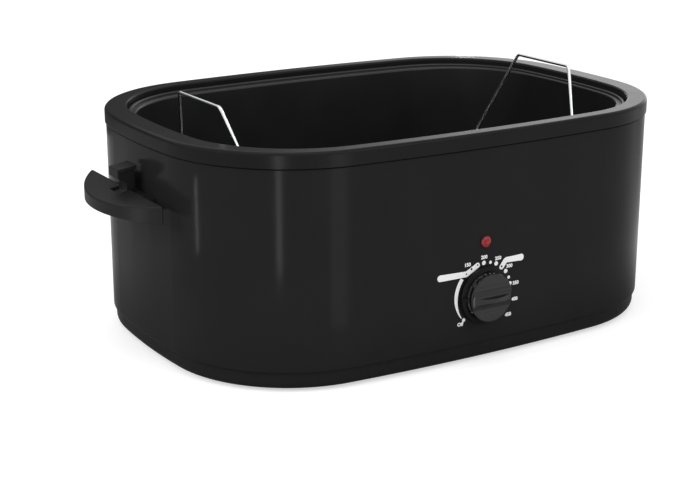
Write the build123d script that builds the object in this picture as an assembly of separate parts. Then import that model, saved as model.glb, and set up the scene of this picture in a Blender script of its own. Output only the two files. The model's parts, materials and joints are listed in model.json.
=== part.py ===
from build123d import *
import os
from math import atan, cos, degrees, hypot, radians, sin, sqrt

# Electric roaster oven, without its lid: a bowed rectangular steel body with a collar, an inner
# well wrapped by a band heater, a lift-out roasting pan with its wire rack, and a dial control.
# Millimetres. The origin is on the resting plane, under the middle of the body. +X runs along
# the length, -Y faces the cook, +Z is up.

# ---------------------------------------------------------------- driving dimensions
# body in plan
body_length = 500.0
body_width = 350.0
side_bow_radius = 1770.0        # gentle outward bow of the front and rear walls
end_bow_radius = 667.0          # bow of the two ends
corner_radius = 123.0

# heights above the resting plane
rim_height = 208.0              # top of the collar
skirt_lift = 2.0                # the feet hold the base this far up
wrap_bottom = 17.4              # underside of the outer wall's bottom flange
well_bottom = 35.0

# outer wall
wrap_sheet = 1.0
wrap_curl_radius = 2.0          # the wall turns in to its bottom flange
wrap_flange = 24.0              # width of the bottom flange, from the outside of the wall
neck_inset = 1.0                # the wall steps in here, under the collar
shoulder_radius = 0.8
collar_reveal = 0.9             # open line between the wall's shoulder and the collar

# collar
collar_sheet = 1.0
collar_proud = 1.1              # the collar stands out from the wall
collar_band = 13.4              # height of its outer face
collar_step = 8.7               # top of the collar down to the ledge that carries the pan
collar_face_side = 14.0         # width of its flat top along the front and rear
collar_face_end = 21.0          # and at the ends
collar_edge_radius = 3.0
collar_lip_radius = 2.2

# inner well
well_sheet = 1.0
well_inset = 25.0               # outside of the well's wall, from the outside of the body
well_floor_radius = 18.0
well_lip_radius = 1.0

# roasting pan
pan_sheet = 1.0
pan_side_air = 1.0              # between the pan's mouth and the well
pan_floor_air = 5.0             # between their floors
pan_taper = 6.5                 # the wall leans in by this much over the pan's depth
pan_floor_radius = 22.0
pan_lip_radius = 2.0
pan_bead_width = 3.6            # rolled outer edge of the pan's flange
pan_bead_height = 3.2
pan_clearance = 1.0             # pan flange to collar

# base tray and feet
base_sheet = 1.2
base_inset = 2.4
base_edge_radius = 6.5
boss_inset = 17.0
boss_radius = 5.0
foot_radius = 12.0
foot_edge = 1.0
foot_stem_radius = 5.0
foot_bead = 1.5                 # the bead over the tray is wider than the stem by this much
foot_bead_height = 3.0
foot_inset = 34.0
vent_length = 34.0
vent_width = 5.0
vent_pitch = 15.0
vents_in_row = 7
vent_row_spacing = 150.0
boss_angle = 45.0               # direction of the screws and feet round each corner
foot_angle = 45.0

# heat parts
heater_thickness = 2.6
heater_bottom = 84.0
heater_height = 50.0
heater_split = 16.0             # opening at the rear, closed by the clamp
ear_height = 13.0               # the band's ears, off the well's wall
ear_half_width = 7.0
ear_sheet = 2.0
clamp_height = 8.0              # the clamp's bolt, off the well's wall
clamp_nut_height = 3.0
terminal_spacing = 52.0
terminal_radius = 3.5
terminal_height = 6.0
terminal_pin_radius = 1.8
terminal_pin_height = 4.0
insulation_thickness = 13.0
insulation_bottom = 44.0
insulation_top = 152.0
shield_sheet = 0.8
shield_lip = 5.0                # height of its turned-up edge
spacer_radius = 8.0
centre_head_height = 1.6
centre_nut_height = 2.4
centre_bolt_end = 0.8           # bolt beyond its nut
rear_pocket_half = 34.0         # openings in the blanket, for the clamp and the controls
front_pocket_half = 33.0
front_pocket_margin = 16.5      # the front opening ends this far over the pilot light

# side handles
handle_gap = 11.0               # straight inner edge, from the end wall
handle_depth = 31.0             # straight edge to outermost point
handle_half_width = 77.5
handle_bottom = 140.0
handle_height = 15.5            # at the straight edge
handle_fall = 0.16              # the top falls outward by this slope
handle_wall = 3.0
handle_edge_radius = 1.4
handle_end_radius = 1.6
handle_rib = 2.0
bridge_half_width = 34.0        # the bridge ties the grip to the wall
bridge_drop = 4.0               # its deck lies below the grip's top
bridge_height = 11.0
bridge_deck = 2.5
bridge_groove = 3.0             # a groove across the deck, beside each screw
bridge_groove_depth = 1.2
bridge_groove_place = 25.5
wall_pad = 3.0                  # the bridge's pad against the wall
handle_screw_spacing = 36.0
handle_boss_radius = 4.8
handle_screw_bite = 8.0         # length of screw in its boss
backing_sheet = 1.2
backing_margin = 12.0           # the backing plate reaches this far past its screws
backing_half_height = 8.0
lid_hook_half_width = 9.5
lid_hook_setback = 6.0          # inner edge of the hook's plate, behind the grip's straight edge
lid_hook_depth = 18.0
lid_hook_overhang = 2.0         # the plate reaches past its stem toward the wall
lid_hook_height = 21.3          # over the grip, at its inner face; it falls outward as the grip does
lid_hook_plate = 3.4
lid_hook_lip = 7.8              # height of the nose
lid_hook_nose = 2.2             # thickness of the nose
lid_hook_stem = 7.5
lid_hook_waist = 5.5            # the stem widens upward from here, over the grip
lid_hook_step = 1.0             # the stem is narrower than the plate by this on each side

# dial control
control_offset = -2.5           # the dial and the pilot light stand a little left of the middle
dial_height = 62.0
knob_radius = 22.0
knob_face = 12.0                # off the wall
knob_crest = 19.5
knob_skirt_width = 4.0          # the skirt is wider than the cap by this much
knob_skirt_height = 3.4
knob_edge = 0.7                 # small chamfers on the skirt
knob_draft = 0.5                # the cap widens toward its skirt
knob_air = 1.0                  # knob to wall
knob_wall = 2.2
pointer_half_width = 2.0
pointer_rise = 0.8              # over the skirt
knob_hub_radius = 6.0
grip_half = 2.0
scoop_radius = 8.0              # hollow of each flank of the fin
scoop_depth = 0.3               # the hollows dip this far below the face
knob_rim = 1.0                  # round of the face's outer edge
shaft_radius = 3.0
shaft_reach = 9.0
shaft_grip = 8.0                # length of shaft inside the switch
bush_radius = 5.0
bush_front = 1.4
hub_air = 2.4                   # knob hub to wall
bracket_sheet = 1.2
bracket_air = 0.2               # the flat bracket spans the wall's bow
bracket_half_height = 10.0
bracket_margin = 6.0            # past its screws
switch_length = 38.0
switch_height = 28.0
switch_depth = 14.0
switch_corner = 2.0
tab_spacing = 18.0
tab_width = 6.3
tab_length = 9.0
tab_sheet = 0.8
tab_hole_radius = 0.9
strip_sheet = 0.6               # the sensing strip
strip_width = 12.0
strip_half_height = 10.0
dial_screw_spacing = 28.0
dial_screw_head_height = 1.6

# pilot light
pilot_height = 110.5
pilot_radius = 5.5
pilot_stem_radius = 4.5
pilot_stem_depth = 9.0
pilot_dome = 2.4
pilot_rim = 1.0                 # height of the lens's edge over the wall
lamp_radius = 3.2
lamp_tail = 4.0                 # the lamp's collar, behind the lens
clip_radius = 7.5
clip_sheet = 0.6

# cord entry at the rear
gland_height = 38.0
gland_radius = 7.5
gland_flange = 1.2              # the flange is wider than the body by this much
gland_flange_height = 2.5
gland_length = 14.0
gland_taper = 1.5
gland_edge = 1.0
gland_bore_radius = 3.6
gland_relief_radius = 4.6       # the bore is wider behind the flange's face
gland_neck_radius = 6.5
gland_barb = 1.0                # the barb inside the wall
gland_barb_length = 4.0
terminal_block_size = (32.0, 14.0, 10.0)
terminal_block_gap = 4.0        # from the wall's curl
terminal_slot = 2.0
terminal_slot_depth = 3.0
terminal_well_radius = 2.6
terminal_well_depth = 4.0
terminal_well_spacing = 18.0

# rack
rack_wire_radius = 2.0
cross_wire_radius = 1.5
lift_wire_radius = 1.6
rack_side_air = 9.5             # rail to the foot of the pan's wall
rack_stand = 10.0               # clear height under the rails
cross_wire_count = 13
cross_wire_end = 14.0           # last cross wire to the end of the rail
rack_shift = 3.0                # the rack sits loose in the pan, a little to the right
lift_top = 225.0
lift_bar_half = 40.0
lift_bar_inset = 14.0           # the bar stands inside the rail's end
lift_foot_inset = 55.7          # the legs stand on the long rails, further in
lift_corner_radius = 5.0
lift_weld_sink = 0.64
stringer_spacing = 120.0
rack_leg_spacing = 256.0
weld_sink = 0.4                 # welded wires sink into each other by this much

# fasteners and fits
screw_radius = 2.0
screw_head_radius = 3.8
screw_head_height = 2.2
screw_sink = 3.0                # the base screws' heads lie this deep in the tray
small_screw_radius = 1.5
small_screw_head_radius = 2.8
seat_gap = 0.3
panel_gap = 0.1
hole_clearance = 0.3
running_clearance = 0.05
wall_cut = 12.0                 # half length of a hole's cutter

# ---------------------------------------------------------------- shared geometry
half_length = body_length / 2
half_width = body_width / 2
handle_chord = half_length + handle_gap
handle_reach = handle_chord + handle_depth
handle_top = handle_bottom + handle_height
bridge_top = handle_top - bridge_drop
bridge_bottom = bridge_top - bridge_height
handle_screw_height = (bridge_bottom + bridge_top) / 2
lid_hook_inner = handle_chord - lid_hook_setback
lid_hook_reach = lid_hook_inner + lid_hook_depth
lid_hook_top = handle_top + lid_hook_height
knob_skirt_radius = knob_radius + knob_skirt_width
bracket_back = wrap_sheet + bracket_air + bracket_sheet
switch_back = bracket_back + switch_depth
UP = (0, 0, 1)


class Outline:
    """Plan outline of two bowed sides, two bowed ends and four tangent corner arcs."""

    def __init__(self, half_length, half_width, side_radius, end_radius, corner_radius):
        self.half_length = half_length
        self.half_width = half_width
        self.side_radius = side_radius
        self.end_radius = end_radius
        self.corner_radius = corner_radius
        self.side_centre = (0.0, half_width - side_radius)
        self.end_centre = (half_length - end_radius, 0.0)
        self.corner_centre = self._corner_centre()

    def _corner_centre(self):
        """Where a corner arc is tangent to both bows: the crossing of two circles."""
        reach_side = self.side_radius - self.corner_radius
        reach_end = self.end_radius - self.corner_radius
        dx = self.end_centre[0] - self.side_centre[0]
        dy = self.end_centre[1] - self.side_centre[1]
        span = hypot(dx, dy)
        along = (reach_side**2 - reach_end**2 + span**2) / (2 * span)
        across = sqrt(reach_side**2 - along**2)
        x = self.side_centre[0] + (along * dx + across * dy) / span
        y = self.side_centre[1] + (along * dy - across * dx) / span
        return x, y

    def _beyond(self, centre, radius):
        """The point of a bow that lies behind the corner's centre, seen from the bow's centre."""
        dx = self.corner_centre[0] - centre[0]
        dy = self.corner_centre[1] - centre[1]
        return centre[0] + radius * dx / hypot(dx, dy), centre[1] + radius * dy / hypot(dx, dy)

    def corner_point(self, angle, inset=0.0):
        """A point of the corner arc with x and y positive, at this angle from +X."""
        reach = self.corner_radius - inset
        x = self.corner_centre[0] + reach * cos(radians(angle))
        y = self.corner_centre[1] + reach * sin(radians(angle))
        return x, y

    def inset(self, distance):
        return Outline(self.half_length - distance, self.half_width - distance,
                       self.side_radius - distance, self.end_radius - distance,
                       self.corner_radius - distance)

    def depth_of(self, point):
        """How far inside the outline a point lies, measured square to it."""
        x, y = abs(point.X), abs(point.Y)
        from_side = hypot(x - self.side_centre[0], y - self.side_centre[1])
        from_end = hypot(x - self.end_centre[0], y - self.end_centre[1])
        from_corner = hypot(x - self.corner_centre[0], y - self.corner_centre[1])
        side_x, side_y = self._beyond(self.side_centre, self.side_radius)
        end_x, end_y = self._beyond(self.end_centre, self.end_radius)
        if x * (side_y - self.side_centre[1]) < side_x * (y - self.side_centre[1]):
            return self.side_radius - from_side
        if y * (end_x - self.end_centre[0]) < end_y * (x - self.end_centre[0]):
            return self.end_radius - from_end
        return self.corner_radius - from_corner

    def half_width_at(self, x):
        """Half the width of the outline at this x."""
        if abs(x) > self._beyond(self.side_centre, self.side_radius)[0]:
            across = abs(x) - self.corner_centre[0]
            return self.corner_centre[1] + sqrt(self.corner_radius**2 - across**2)
        return self.side_centre[1] + sqrt(self.side_radius**2 - x**2)

    def half_length_at(self, y):
        """Half the length of the outline at this y."""
        if abs(y) > self._beyond(self.end_centre, self.end_radius)[1]:
            across = abs(y) - self.corner_centre[1]
            return self.corner_centre[0] + sqrt(self.corner_radius**2 - across**2)
        return self.end_centre[0] + sqrt(self.end_radius**2 - y**2)

    def arcs(self):
        ax, ay = self._beyond(self.side_centre, self.side_radius)
        bx, by = self._beyond(self.end_centre, self.end_radius)
        mx, my = self.corner_point(degrees(atan((ay + by - 2 * self.corner_centre[1])
                                                / (ax + bx - 2 * self.corner_centre[0]))))
        x, y = self.half_length, self.half_width
        loop = [(ax, -ay), (mx, -my), (bx, -by), (x, 0), (bx, by), (mx, my), (ax, ay), (0, y),
                (-ax, ay), (-mx, my), (-bx, by), (-x, 0), (-bx, -by), (-mx, -my), (-ax, -ay), (0, -y),
                (ax, -ay)]
        return [ThreePointArc(*loop[i:i + 3]) for i in range(0, len(loop) - 1, 2)]

    def face(self, height):
        return Pos(0, 0, height) * make_face(self.arcs())


body = Outline(half_length, half_width, side_bow_radius, end_bow_radius, corner_radius)
collar_plan = body.inset(-collar_proud)
opening = Outline(half_length - collar_face_end, half_width - collar_face_side,
                  side_bow_radius - collar_face_side, end_bow_radius - collar_face_end,
                  corner_radius - (collar_face_side + collar_face_end) / 2)
well_wall = body.inset(well_inset)
pan_edge = opening.inset(pan_clearance)
pan_mouth_inset = well_inset + well_sheet + pan_side_air + pan_sheet
pan_mouth = body.inset(pan_mouth_inset)
rail_plan = pan_mouth.inset(pan_taper + rack_side_air)

ledge_height = rim_height - collar_step
collar_bottom = rim_height - collar_band
shoulder_height = collar_bottom - collar_reveal
neck_top = rim_height - collar_sheet - seat_gap
pan_bottom = well_bottom + well_sheet + pan_floor_air
pan_floor = pan_bottom + pan_sheet
front_pocket_top = pilot_height + front_pocket_margin
shield_bottom = wrap_bottom + wrap_sheet
rail_height = pan_floor + rack_stand + rack_wire_radius


def slab(outline, bottom, top):
    """A plate of this outline between two heights."""
    return extrude(outline.face(bottom), top - bottom, dir=UP)


def ring(outside, inside, bottom, top):
    return slab(outside, bottom, top) - slab(inside, bottom, top)


def lowest_edges(solid):
    return solid.edges().group_by(Axis.Z)[0]


def highest_edges(solid):
    return solid.edges().group_by(Axis.Z)[-1]


def edges_along(solid, outline, height):
    """The edges of a solid that run along this outline at this height."""
    return [edge for edge in solid.edges() if abs(outline.depth_of(edge @ 0.5)) < 0.01
            and abs((edge @ 0.5).Z - height) < 0.01 and abs((edge @ 0).Z - height) < 0.01]


def block(x_range, y_range, z_range):
    """A box given by its limits along each axis."""
    size = [high - low for low, high in (x_range, y_range, z_range)]
    middle = [(high + low) / 2 for low, high in (x_range, y_range, z_range)]
    return Pos(*middle) * Box(*size)


def front_axis(height):
    """A frame on the front wall at the controls: local x is +X, local y is +Z, local z points at the cook."""
    return Plane(origin=(control_offset, -half_width, height), x_dir=(1, 0, 0), z_dir=(0, -1, 0))


def rear_axis(height):
    """A frame on the rear wall: local z points out at the rear."""
    return Plane(origin=(0, half_width, height), x_dir=(-1, 0, 0), z_dir=(0, 1, 0))


def drum(radius, low, high):
    """A cylinder along local z between two distances."""
    return Pos(0, 0, low) * Cylinder(radius, high - low, align=(Align.CENTER, Align.CENTER, Align.MIN))


def turned(profile):
    """A solid of revolution about local z; the profile is a list of (radius, distance)."""
    outline = Polyline(*[(radius, 0, distance) for radius, distance in profile], close=True)
    return revolve(make_face(outline), Axis.Z)


def screw(radius, head_radius, head_height, length):
    """A pan-head screw along local z: the head sits on local z = 0, the shank runs down."""
    head = drum(head_radius, 0, head_height)
    head = fillet(head.edges().group_by(Axis.Z)[-1], head_height * 0.45)
    slot = Pos(0, 0, head_height) * Box(head_radius * 1.5, head_radius * 0.3, head_height * 0.8)
    return head - slot + drum(radius, -length, 0)


def hex_nut(height):
    return extrude(RegularPolygon(screw_head_radius, 6), height) - drum(screw_radius, 0, height)


# ---------------------------------------------------------------- casing
def outer_wrap():
    """The painted outer wall, rolled in to a flange below and stepped in under the collar."""
    outside = slab(body, wrap_bottom, shoulder_height)
    outside = fillet(lowest_edges(outside), wrap_curl_radius)
    outside = fillet(highest_edges(outside), shoulder_radius)
    hollow = slab(body.inset(wrap_sheet), wrap_bottom + wrap_sheet, shoulder_height - wrap_sheet)
    hollow = fillet(lowest_edges(hollow), wrap_curl_radius - wrap_sheet)
    neck_outside = body.inset(neck_inset)
    neck_inside = body.inset(neck_inset + wrap_sheet)
    wall = outside + slab(neck_outside, shoulder_height, neck_top) - hollow
    wall -= slab(neck_inside, shoulder_height - wrap_sheet, neck_top)
    wall -= slab(body.inset(wrap_flange), wrap_bottom, shield_bottom)

    dial = front_axis(dial_height)
    wall -= dial * drum(bush_radius + hole_clearance, -wall_cut, wall_cut)
    for side in (-1, 1):
        at = Pos(side * dial_screw_spacing / 2, 0, 0)
        wall -= dial * at * drum(small_screw_radius + panel_gap, -wall_cut, wall_cut)
    wall -= front_axis(pilot_height) * drum(pilot_stem_radius + panel_gap, -wall_cut, wall_cut)
    wall -= rear_axis(gland_height) * drum(gland_neck_radius + panel_gap, -wall_cut, wall_cut)
    for place in handle_screw_places():
        wall -= place * drum(screw_radius + panel_gap, -wall_cut, wall_cut)
    for x, y in corner_places(boss_inset, boss_angle):
        wall -= Pos(x, y, wrap_bottom - panel_gap) * drum(screw_radius + panel_gap, 0, wrap_sheet * 2)
    return wall


def top_collar():
    """The pressed collar: a downward channel whose inner wall stands on the well's flange."""
    outside = slab(collar_plan, collar_bottom, rim_height)
    outside = fillet(highest_edges(outside), collar_edge_radius)
    mouth = slab(opening, collar_bottom, rim_height)
    channel = slab(collar_plan.inset(collar_sheet), collar_bottom, rim_height - collar_sheet)
    channel = fillet(highest_edges(channel), collar_edge_radius - collar_sheet)
    inner_wall = slab(opening.inset(-collar_sheet), ledge_height, rim_height)
    inner_wall = inner_wall - mouth
    collar = outside - mouth
    collar = fillet(edges_along(collar, opening, rim_height), collar_lip_radius)
    keep = inner_wall & collar
    return collar - channel + keep


def base_tray():
    """The pressed tray under the body, with bosses for its screws, foot holes and vent slots."""
    plan = body.inset(base_inset)
    tray = fillet(lowest_edges(slab(plan, skirt_lift, wrap_bottom)), base_edge_radius)
    hollow = slab(plan.inset(base_sheet), skirt_lift + base_sheet, wrap_bottom)
    tray -= fillet(lowest_edges(hollow), base_edge_radius - base_sheet)
    for x, y in corner_places(boss_inset, boss_angle):
        tray += Pos(x, y, 0) * drum(boss_radius, skirt_lift, wrap_bottom)
        tray -= Pos(x, y, 0) * drum(screw_radius + panel_gap, skirt_lift, wrap_bottom)
        tray -= Pos(x, y, 0) * drum(screw_head_radius + panel_gap, skirt_lift, skirt_lift + screw_sink)
    for x, y in corner_places(foot_inset, foot_angle):
        tray -= Pos(x, y, 0) * drum(foot_stem_radius + panel_gap, 0, skirt_lift + 2 * base_sheet)
    tray -= drum(screw_radius + panel_gap, 0, skirt_lift + 2 * base_sheet)
    slot = extrude(SlotOverall(vent_length, vent_width, rotation=90), 4 * base_sheet, both=True)
    for row in (-1, 1):
        for i in range(vents_in_row):
            x = (i - (vents_in_row - 1) / 2) * vent_pitch
            tray -= Pos(row * vent_row_spacing / 2 + x, 0, skirt_lift) * slot
    return tray


def corner_places(inset, angle):
    """Four plan positions near the corners, this far in from the body's outline."""
    x, y = body.corner_point(angle, inset)
    return [(sx * x, sy * y) for sx in (-1, 1) for sy in (-1, 1)]


def feet():
    """Push-in rubber feet: a pad below the tray, a stem through it and a bead above."""
    bead = foot_stem_radius + foot_bead
    top = skirt_lift + base_sheet
    profile = [(0, 0), (foot_radius - foot_edge, 0), (foot_radius, foot_edge), (foot_radius, skirt_lift),
               (foot_stem_radius, skirt_lift), (foot_stem_radius, top), (bead, top),
               (foot_stem_radius, top + foot_bead_height), (0, top + foot_bead_height)]
    foot = turned(profile)
    return [Pos(x, y, 0) * foot for x, y in corner_places(foot_inset, foot_angle)]


def base_screws():
    """Screws that draw the tray up against the wall's bottom flange."""
    one = Rot(180, 0, 0) * screw(screw_radius, screw_head_radius, screw_sink - seat_gap,
                                 wrap_bottom + wrap_sheet - skirt_lift - screw_sink)
    return [Pos(x, y, skirt_lift + screw_sink) * one for x, y in corner_places(boss_inset, boss_angle)]


# ---------------------------------------------------------------- well and heat parts
def inner_well():
    """The well hangs by its flange, which also carries the collar and the pan."""
    flange_plan = body.inset(neck_inset + wrap_sheet + seat_gap)
    well = fillet(lowest_edges(slab(well_wall, well_bottom, ledge_height)), well_floor_radius)
    well += slab(flange_plan, ledge_height - well_sheet, ledge_height)
    hollow = slab(well_wall.inset(well_sheet), well_bottom + well_sheet, ledge_height)
    well -= fillet(lowest_edges(hollow), well_floor_radius - well_sheet)
    well = fillet(edges_along(well, well_wall.inset(well_sheet), ledge_height), well_lip_radius * 0.95)
    return well - drum(screw_radius + panel_gap, well_bottom - 1, well_bottom + 2 * well_sheet)


def heater_band():
    """A flat band heater round the well, split at the rear with an ear on each end."""
    outside = well_wall.inset(-panel_gap - heater_thickness)
    top = heater_bottom + heater_height
    band = ring(outside, well_wall.inset(-panel_gap), heater_bottom, top)
    rear = half_width - well_inset
    gap = (-heater_split / 2, heater_split / 2)
    band -= block(gap, (rear - well_inset, rear + well_inset), (heater_bottom, top))
    middle = (heater_bottom + top) / 2
    bolt_hole = Pos(0, rear + clamp_height, middle) * Rot(0, 90, 0) * Cylinder(
        screw_radius + panel_gap, heater_split + 4 * ear_sheet)
    for side in (-1, 1):
        across = sorted((side * heater_split / 2, side * (heater_split / 2 + ear_sheet)))
        ear = block(across, (rear + panel_gap, rear + ear_height),
                    (middle - ear_half_width, middle + ear_half_width))
        band += ear - bolt_hole
    return band


def heater_clamp():
    """The bolt and nut that pull the ears of the band together."""
    reach = heater_split / 2 + ear_sheet
    bolt = screw(screw_radius, screw_head_radius, screw_head_height, 2 * reach + clamp_nut_height + 1)
    nut = hex_nut(clamp_nut_height)
    place = Pos(0, half_width - well_inset + clamp_height, heater_bottom + heater_height / 2) * Rot(0, 90, 0)
    return [place * Pos(0, 0, reach) * bolt, place * Pos(0, 0, -reach - clamp_nut_height) * nut]


def heater_terminals():
    """Two insulated posts on the band, beside the clamp."""
    rear = half_width - well_inset + panel_gap + heater_thickness
    pin_top = terminal_height + terminal_pin_height
    post = drum(terminal_radius, panel_gap, terminal_height)
    post += drum(terminal_pin_radius, terminal_height, pin_top)
    middle = heater_bottom + heater_height / 2
    return [Pos(side * terminal_spacing / 2, rear, middle) * Rot(-90, 0, 0) * post for side in (-1, 1)]


def insulation_blanket():
    """Glass-fibre blanket round the band, open at the controls and at the clamp."""
    inside = well_wall.inset(-2 * panel_gap - heater_thickness)
    blanket = ring(inside.inset(-insulation_thickness), inside, insulation_bottom, insulation_top)
    front = (-half_width, -half_width + well_inset)
    rear = (half_width - well_inset, half_width)
    pocket = (control_offset - front_pocket_half, control_offset + front_pocket_half)
    blanket -= block(pocket, front, (0, front_pocket_top))
    blanket -= block((-rear_pocket_half, rear_pocket_half), rear, (0, rim_height))
    return blanket


def heat_shield():
    """A reflector plate on the wall's bottom flange, with a turned-up edge."""
    plan = body.inset(wrap_sheet + wrap_curl_radius)
    top = shield_bottom + shield_sheet
    shield = slab(plan, shield_bottom, top + shield_lip)
    shield -= slab(plan.inset(shield_sheet), top, top + shield_lip)
    for x, y in corner_places(boss_inset, boss_angle):
        shield -= Pos(x, y, 0) * drum(screw_radius + 1, shield_bottom, top)
    return shield - drum(screw_radius + panel_gap, shield_bottom, top)


def centre_spacer():
    """Tube that holds the middle of the well's floor at its height over the shield."""
    low = shield_bottom + shield_sheet
    return drum(spacer_radius, low, well_bottom) - drum(screw_radius + panel_gap, low, well_bottom)


def centre_bolt():
    """The bolt through tray, shield, spacer and well floor, headed below and nutted above."""
    nut_bottom = well_bottom + well_sheet
    length = nut_bottom + centre_nut_height + centre_bolt_end - skirt_lift
    bolt = Rot(180, 0, 0) * screw(screw_radius, screw_head_radius, centre_head_height, length)
    return [Pos(0, 0, skirt_lift) * bolt, Pos(0, 0, nut_bottom) * hex_nut(centre_nut_height)]


# ---------------------------------------------------------------- handles
def handle_screw_places():
    """Frames on both end walls, local z pointing outward along the screws."""
    places = []
    for side in (-1, 1):
        for half in (-1, 1):
            y = half * handle_screw_spacing / 2
            wall_x = body.half_length_at(y)
            places.append(Plane(origin=(side * wall_x, y, handle_screw_height), x_dir=(0, 1, 0),
                                z_dir=(side, 0, 0)))
    return places


def handle_segment(chord, reach, width, bottom, top):
    """A circular segment with its straight edge toward the body, between two heights."""
    edge = Line((-chord, -width), (-chord, width))
    bow = ThreePointArc((-chord, width), (-reach, 0), (-chord, -width))
    return extrude(Pos(0, 0, bottom) * make_face([edge, bow]), top - bottom, dir=UP)


def above_handle_top(drop):
    """Everything over the handle's sloping top, lowered by this much."""
    tilt = Rot(0, -degrees(atan(handle_fall)), 0)
    return Pos(-handle_chord, 0, handle_top - drop) * tilt * Box(
        body_length, body_width, body_width, align=(Align.CENTER, Align.CENTER, Align.MIN))


def handle_left():
    """A moulded D-shaped grip with a ribbed underside, a bridge to the wall and a hook for the lid."""
    grip = handle_segment(handle_chord, handle_reach, handle_half_width, handle_bottom, handle_top)
    grip -= above_handle_top(0)
    grip = fillet(grip.edges().filter_by(Axis.Z), handle_end_radius)
    grip = fillet(grip.faces().sort_by(Axis.Z)[-1].edges(), handle_edge_radius)

    ratio = (handle_reach - handle_chord - 2 * handle_wall) / (handle_reach - handle_chord)
    pocket = handle_segment(handle_chord + handle_wall, handle_reach - handle_wall,
                            handle_half_width * sqrt(ratio), handle_bottom, handle_top)
    pocket -= above_handle_top(handle_wall)
    for y in (-handle_half_width / 2, 0, handle_half_width / 2):
        rib = (y - handle_rib / 2, y + handle_rib / 2)
        pocket -= block((-handle_reach, -handle_chord), rib, (handle_bottom + handle_wall, handle_top))
    grip -= pocket

    notch = block((-lid_hook_reach, -lid_hook_inner - lid_hook_overhang - lid_hook_stem),
                  (-lid_hook_half_width, lid_hook_half_width), (handle_bottom + handle_wall, lid_hook_top))
    return grip - notch + lid_hook() + handle_bridge()


def lid_hook():
    """The upright hook over the grip's straight edge: a stem under a plate whose nose faces outward."""
    inner, reach = -lid_hook_inner, -lid_hook_reach
    back = inner - lid_hook_overhang
    foot = back - lid_hook_stem
    root = handle_top - handle_wall
    outer_top = lid_hook_top - handle_fall * (lid_hook_reach - lid_hook_inner)
    nose_under = outer_top - lid_hook_lip
    nose_back = reach + lid_hook_nose
    plate_inner = (inner, lid_hook_top - lid_hook_plate)
    plate_outer = (nose_back, outer_top - lid_hook_plate)
    plate = Polyline((inner, lid_hook_top), (reach, outer_top), (reach, nose_under), (nose_back, nose_under),
                     plate_outer, plate_inner, close=True)
    stem = Polyline((back, root), (back, lid_hook_top - lid_hook_plate), plate_outer, (nose_back, nose_under),
                    (foot, handle_top + lid_hook_waist), (foot, root), close=True)
    hook = extrude(Plane.XZ * make_face(plate), lid_hook_half_width, both=True)
    hook += extrude(Plane.XZ * make_face(stem), lid_hook_half_width - lid_hook_step, both=True)
    crown = [edge for edge in hook.edges() if (edge @ 0.5).Z > outer_top - 0.01]
    return fillet(crown, handle_edge_radius / 2)


def handle_bridge():
    """The bridge from grip to wall: a pad that follows the wall, a deck, ribs and two screw bosses."""
    width = (-bridge_half_width, bridge_half_width)
    span = (-handle_chord - handle_wall / 2, -body.half_length_at(0) - wall_pad / 2)
    deck = (bridge_top - bridge_deck, bridge_top)
    pad_ring = ring(body.inset(-wall_pad), body.inset(-panel_gap), bridge_bottom, bridge_top)
    bridge = pad_ring & block((-2 * half_length, 0), width, (bridge_bottom, bridge_top))
    bridge += block(span, width, deck)
    for edge in (-1, 1):
        outer = edge * bridge_half_width
        rib = sorted((outer, outer - edge * handle_rib))
        bridge += block(span, rib, (bridge_bottom, bridge_top))
        middle = edge * bridge_groove_place
        groove = (middle - bridge_groove / 2, middle + bridge_groove / 2)
        bridge -= block(span, groove, (bridge_top - bridge_groove_depth, bridge_top))
    for place in handle_screw_places()[:2]:
        boss_length = handle_chord + handle_wall / 2 + place.origin.X
        bridge += place * drum(handle_boss_radius, wall_pad / 2, boss_length)
        bridge -= place * drum(screw_radius, 0, boss_length - 1)
    return bridge


def backing_plate_left():
    """A steel strip inside the end wall that spreads the load of the handle's screws."""
    inside = body.inset(wrap_sheet + panel_gap)
    heights = (handle_screw_height - backing_half_height, handle_screw_height + backing_half_height)
    reach = handle_screw_spacing / 2 + backing_margin
    strip = ring(inside, inside.inset(backing_sheet), *heights)
    strip &= block((-2 * half_length, 0), (-reach, reach), heights)
    for place in handle_screw_places()[:2]:
        strip -= place * drum(screw_radius + panel_gap, -wall_cut, wall_cut)
    return strip


def handle_screws_left():
    """Screws from inside, through backing plate and wall, into the bosses of the handle."""
    head_seat = wrap_sheet + panel_gap + backing_sheet + seat_gap
    one = Rot(180, 0, 0) * screw(screw_radius, screw_head_radius, screw_head_height,
                                 head_seat + handle_screw_bite)
    return [place * Pos(0, 0, -head_seat) * one for place in handle_screw_places()[:2]]


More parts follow.
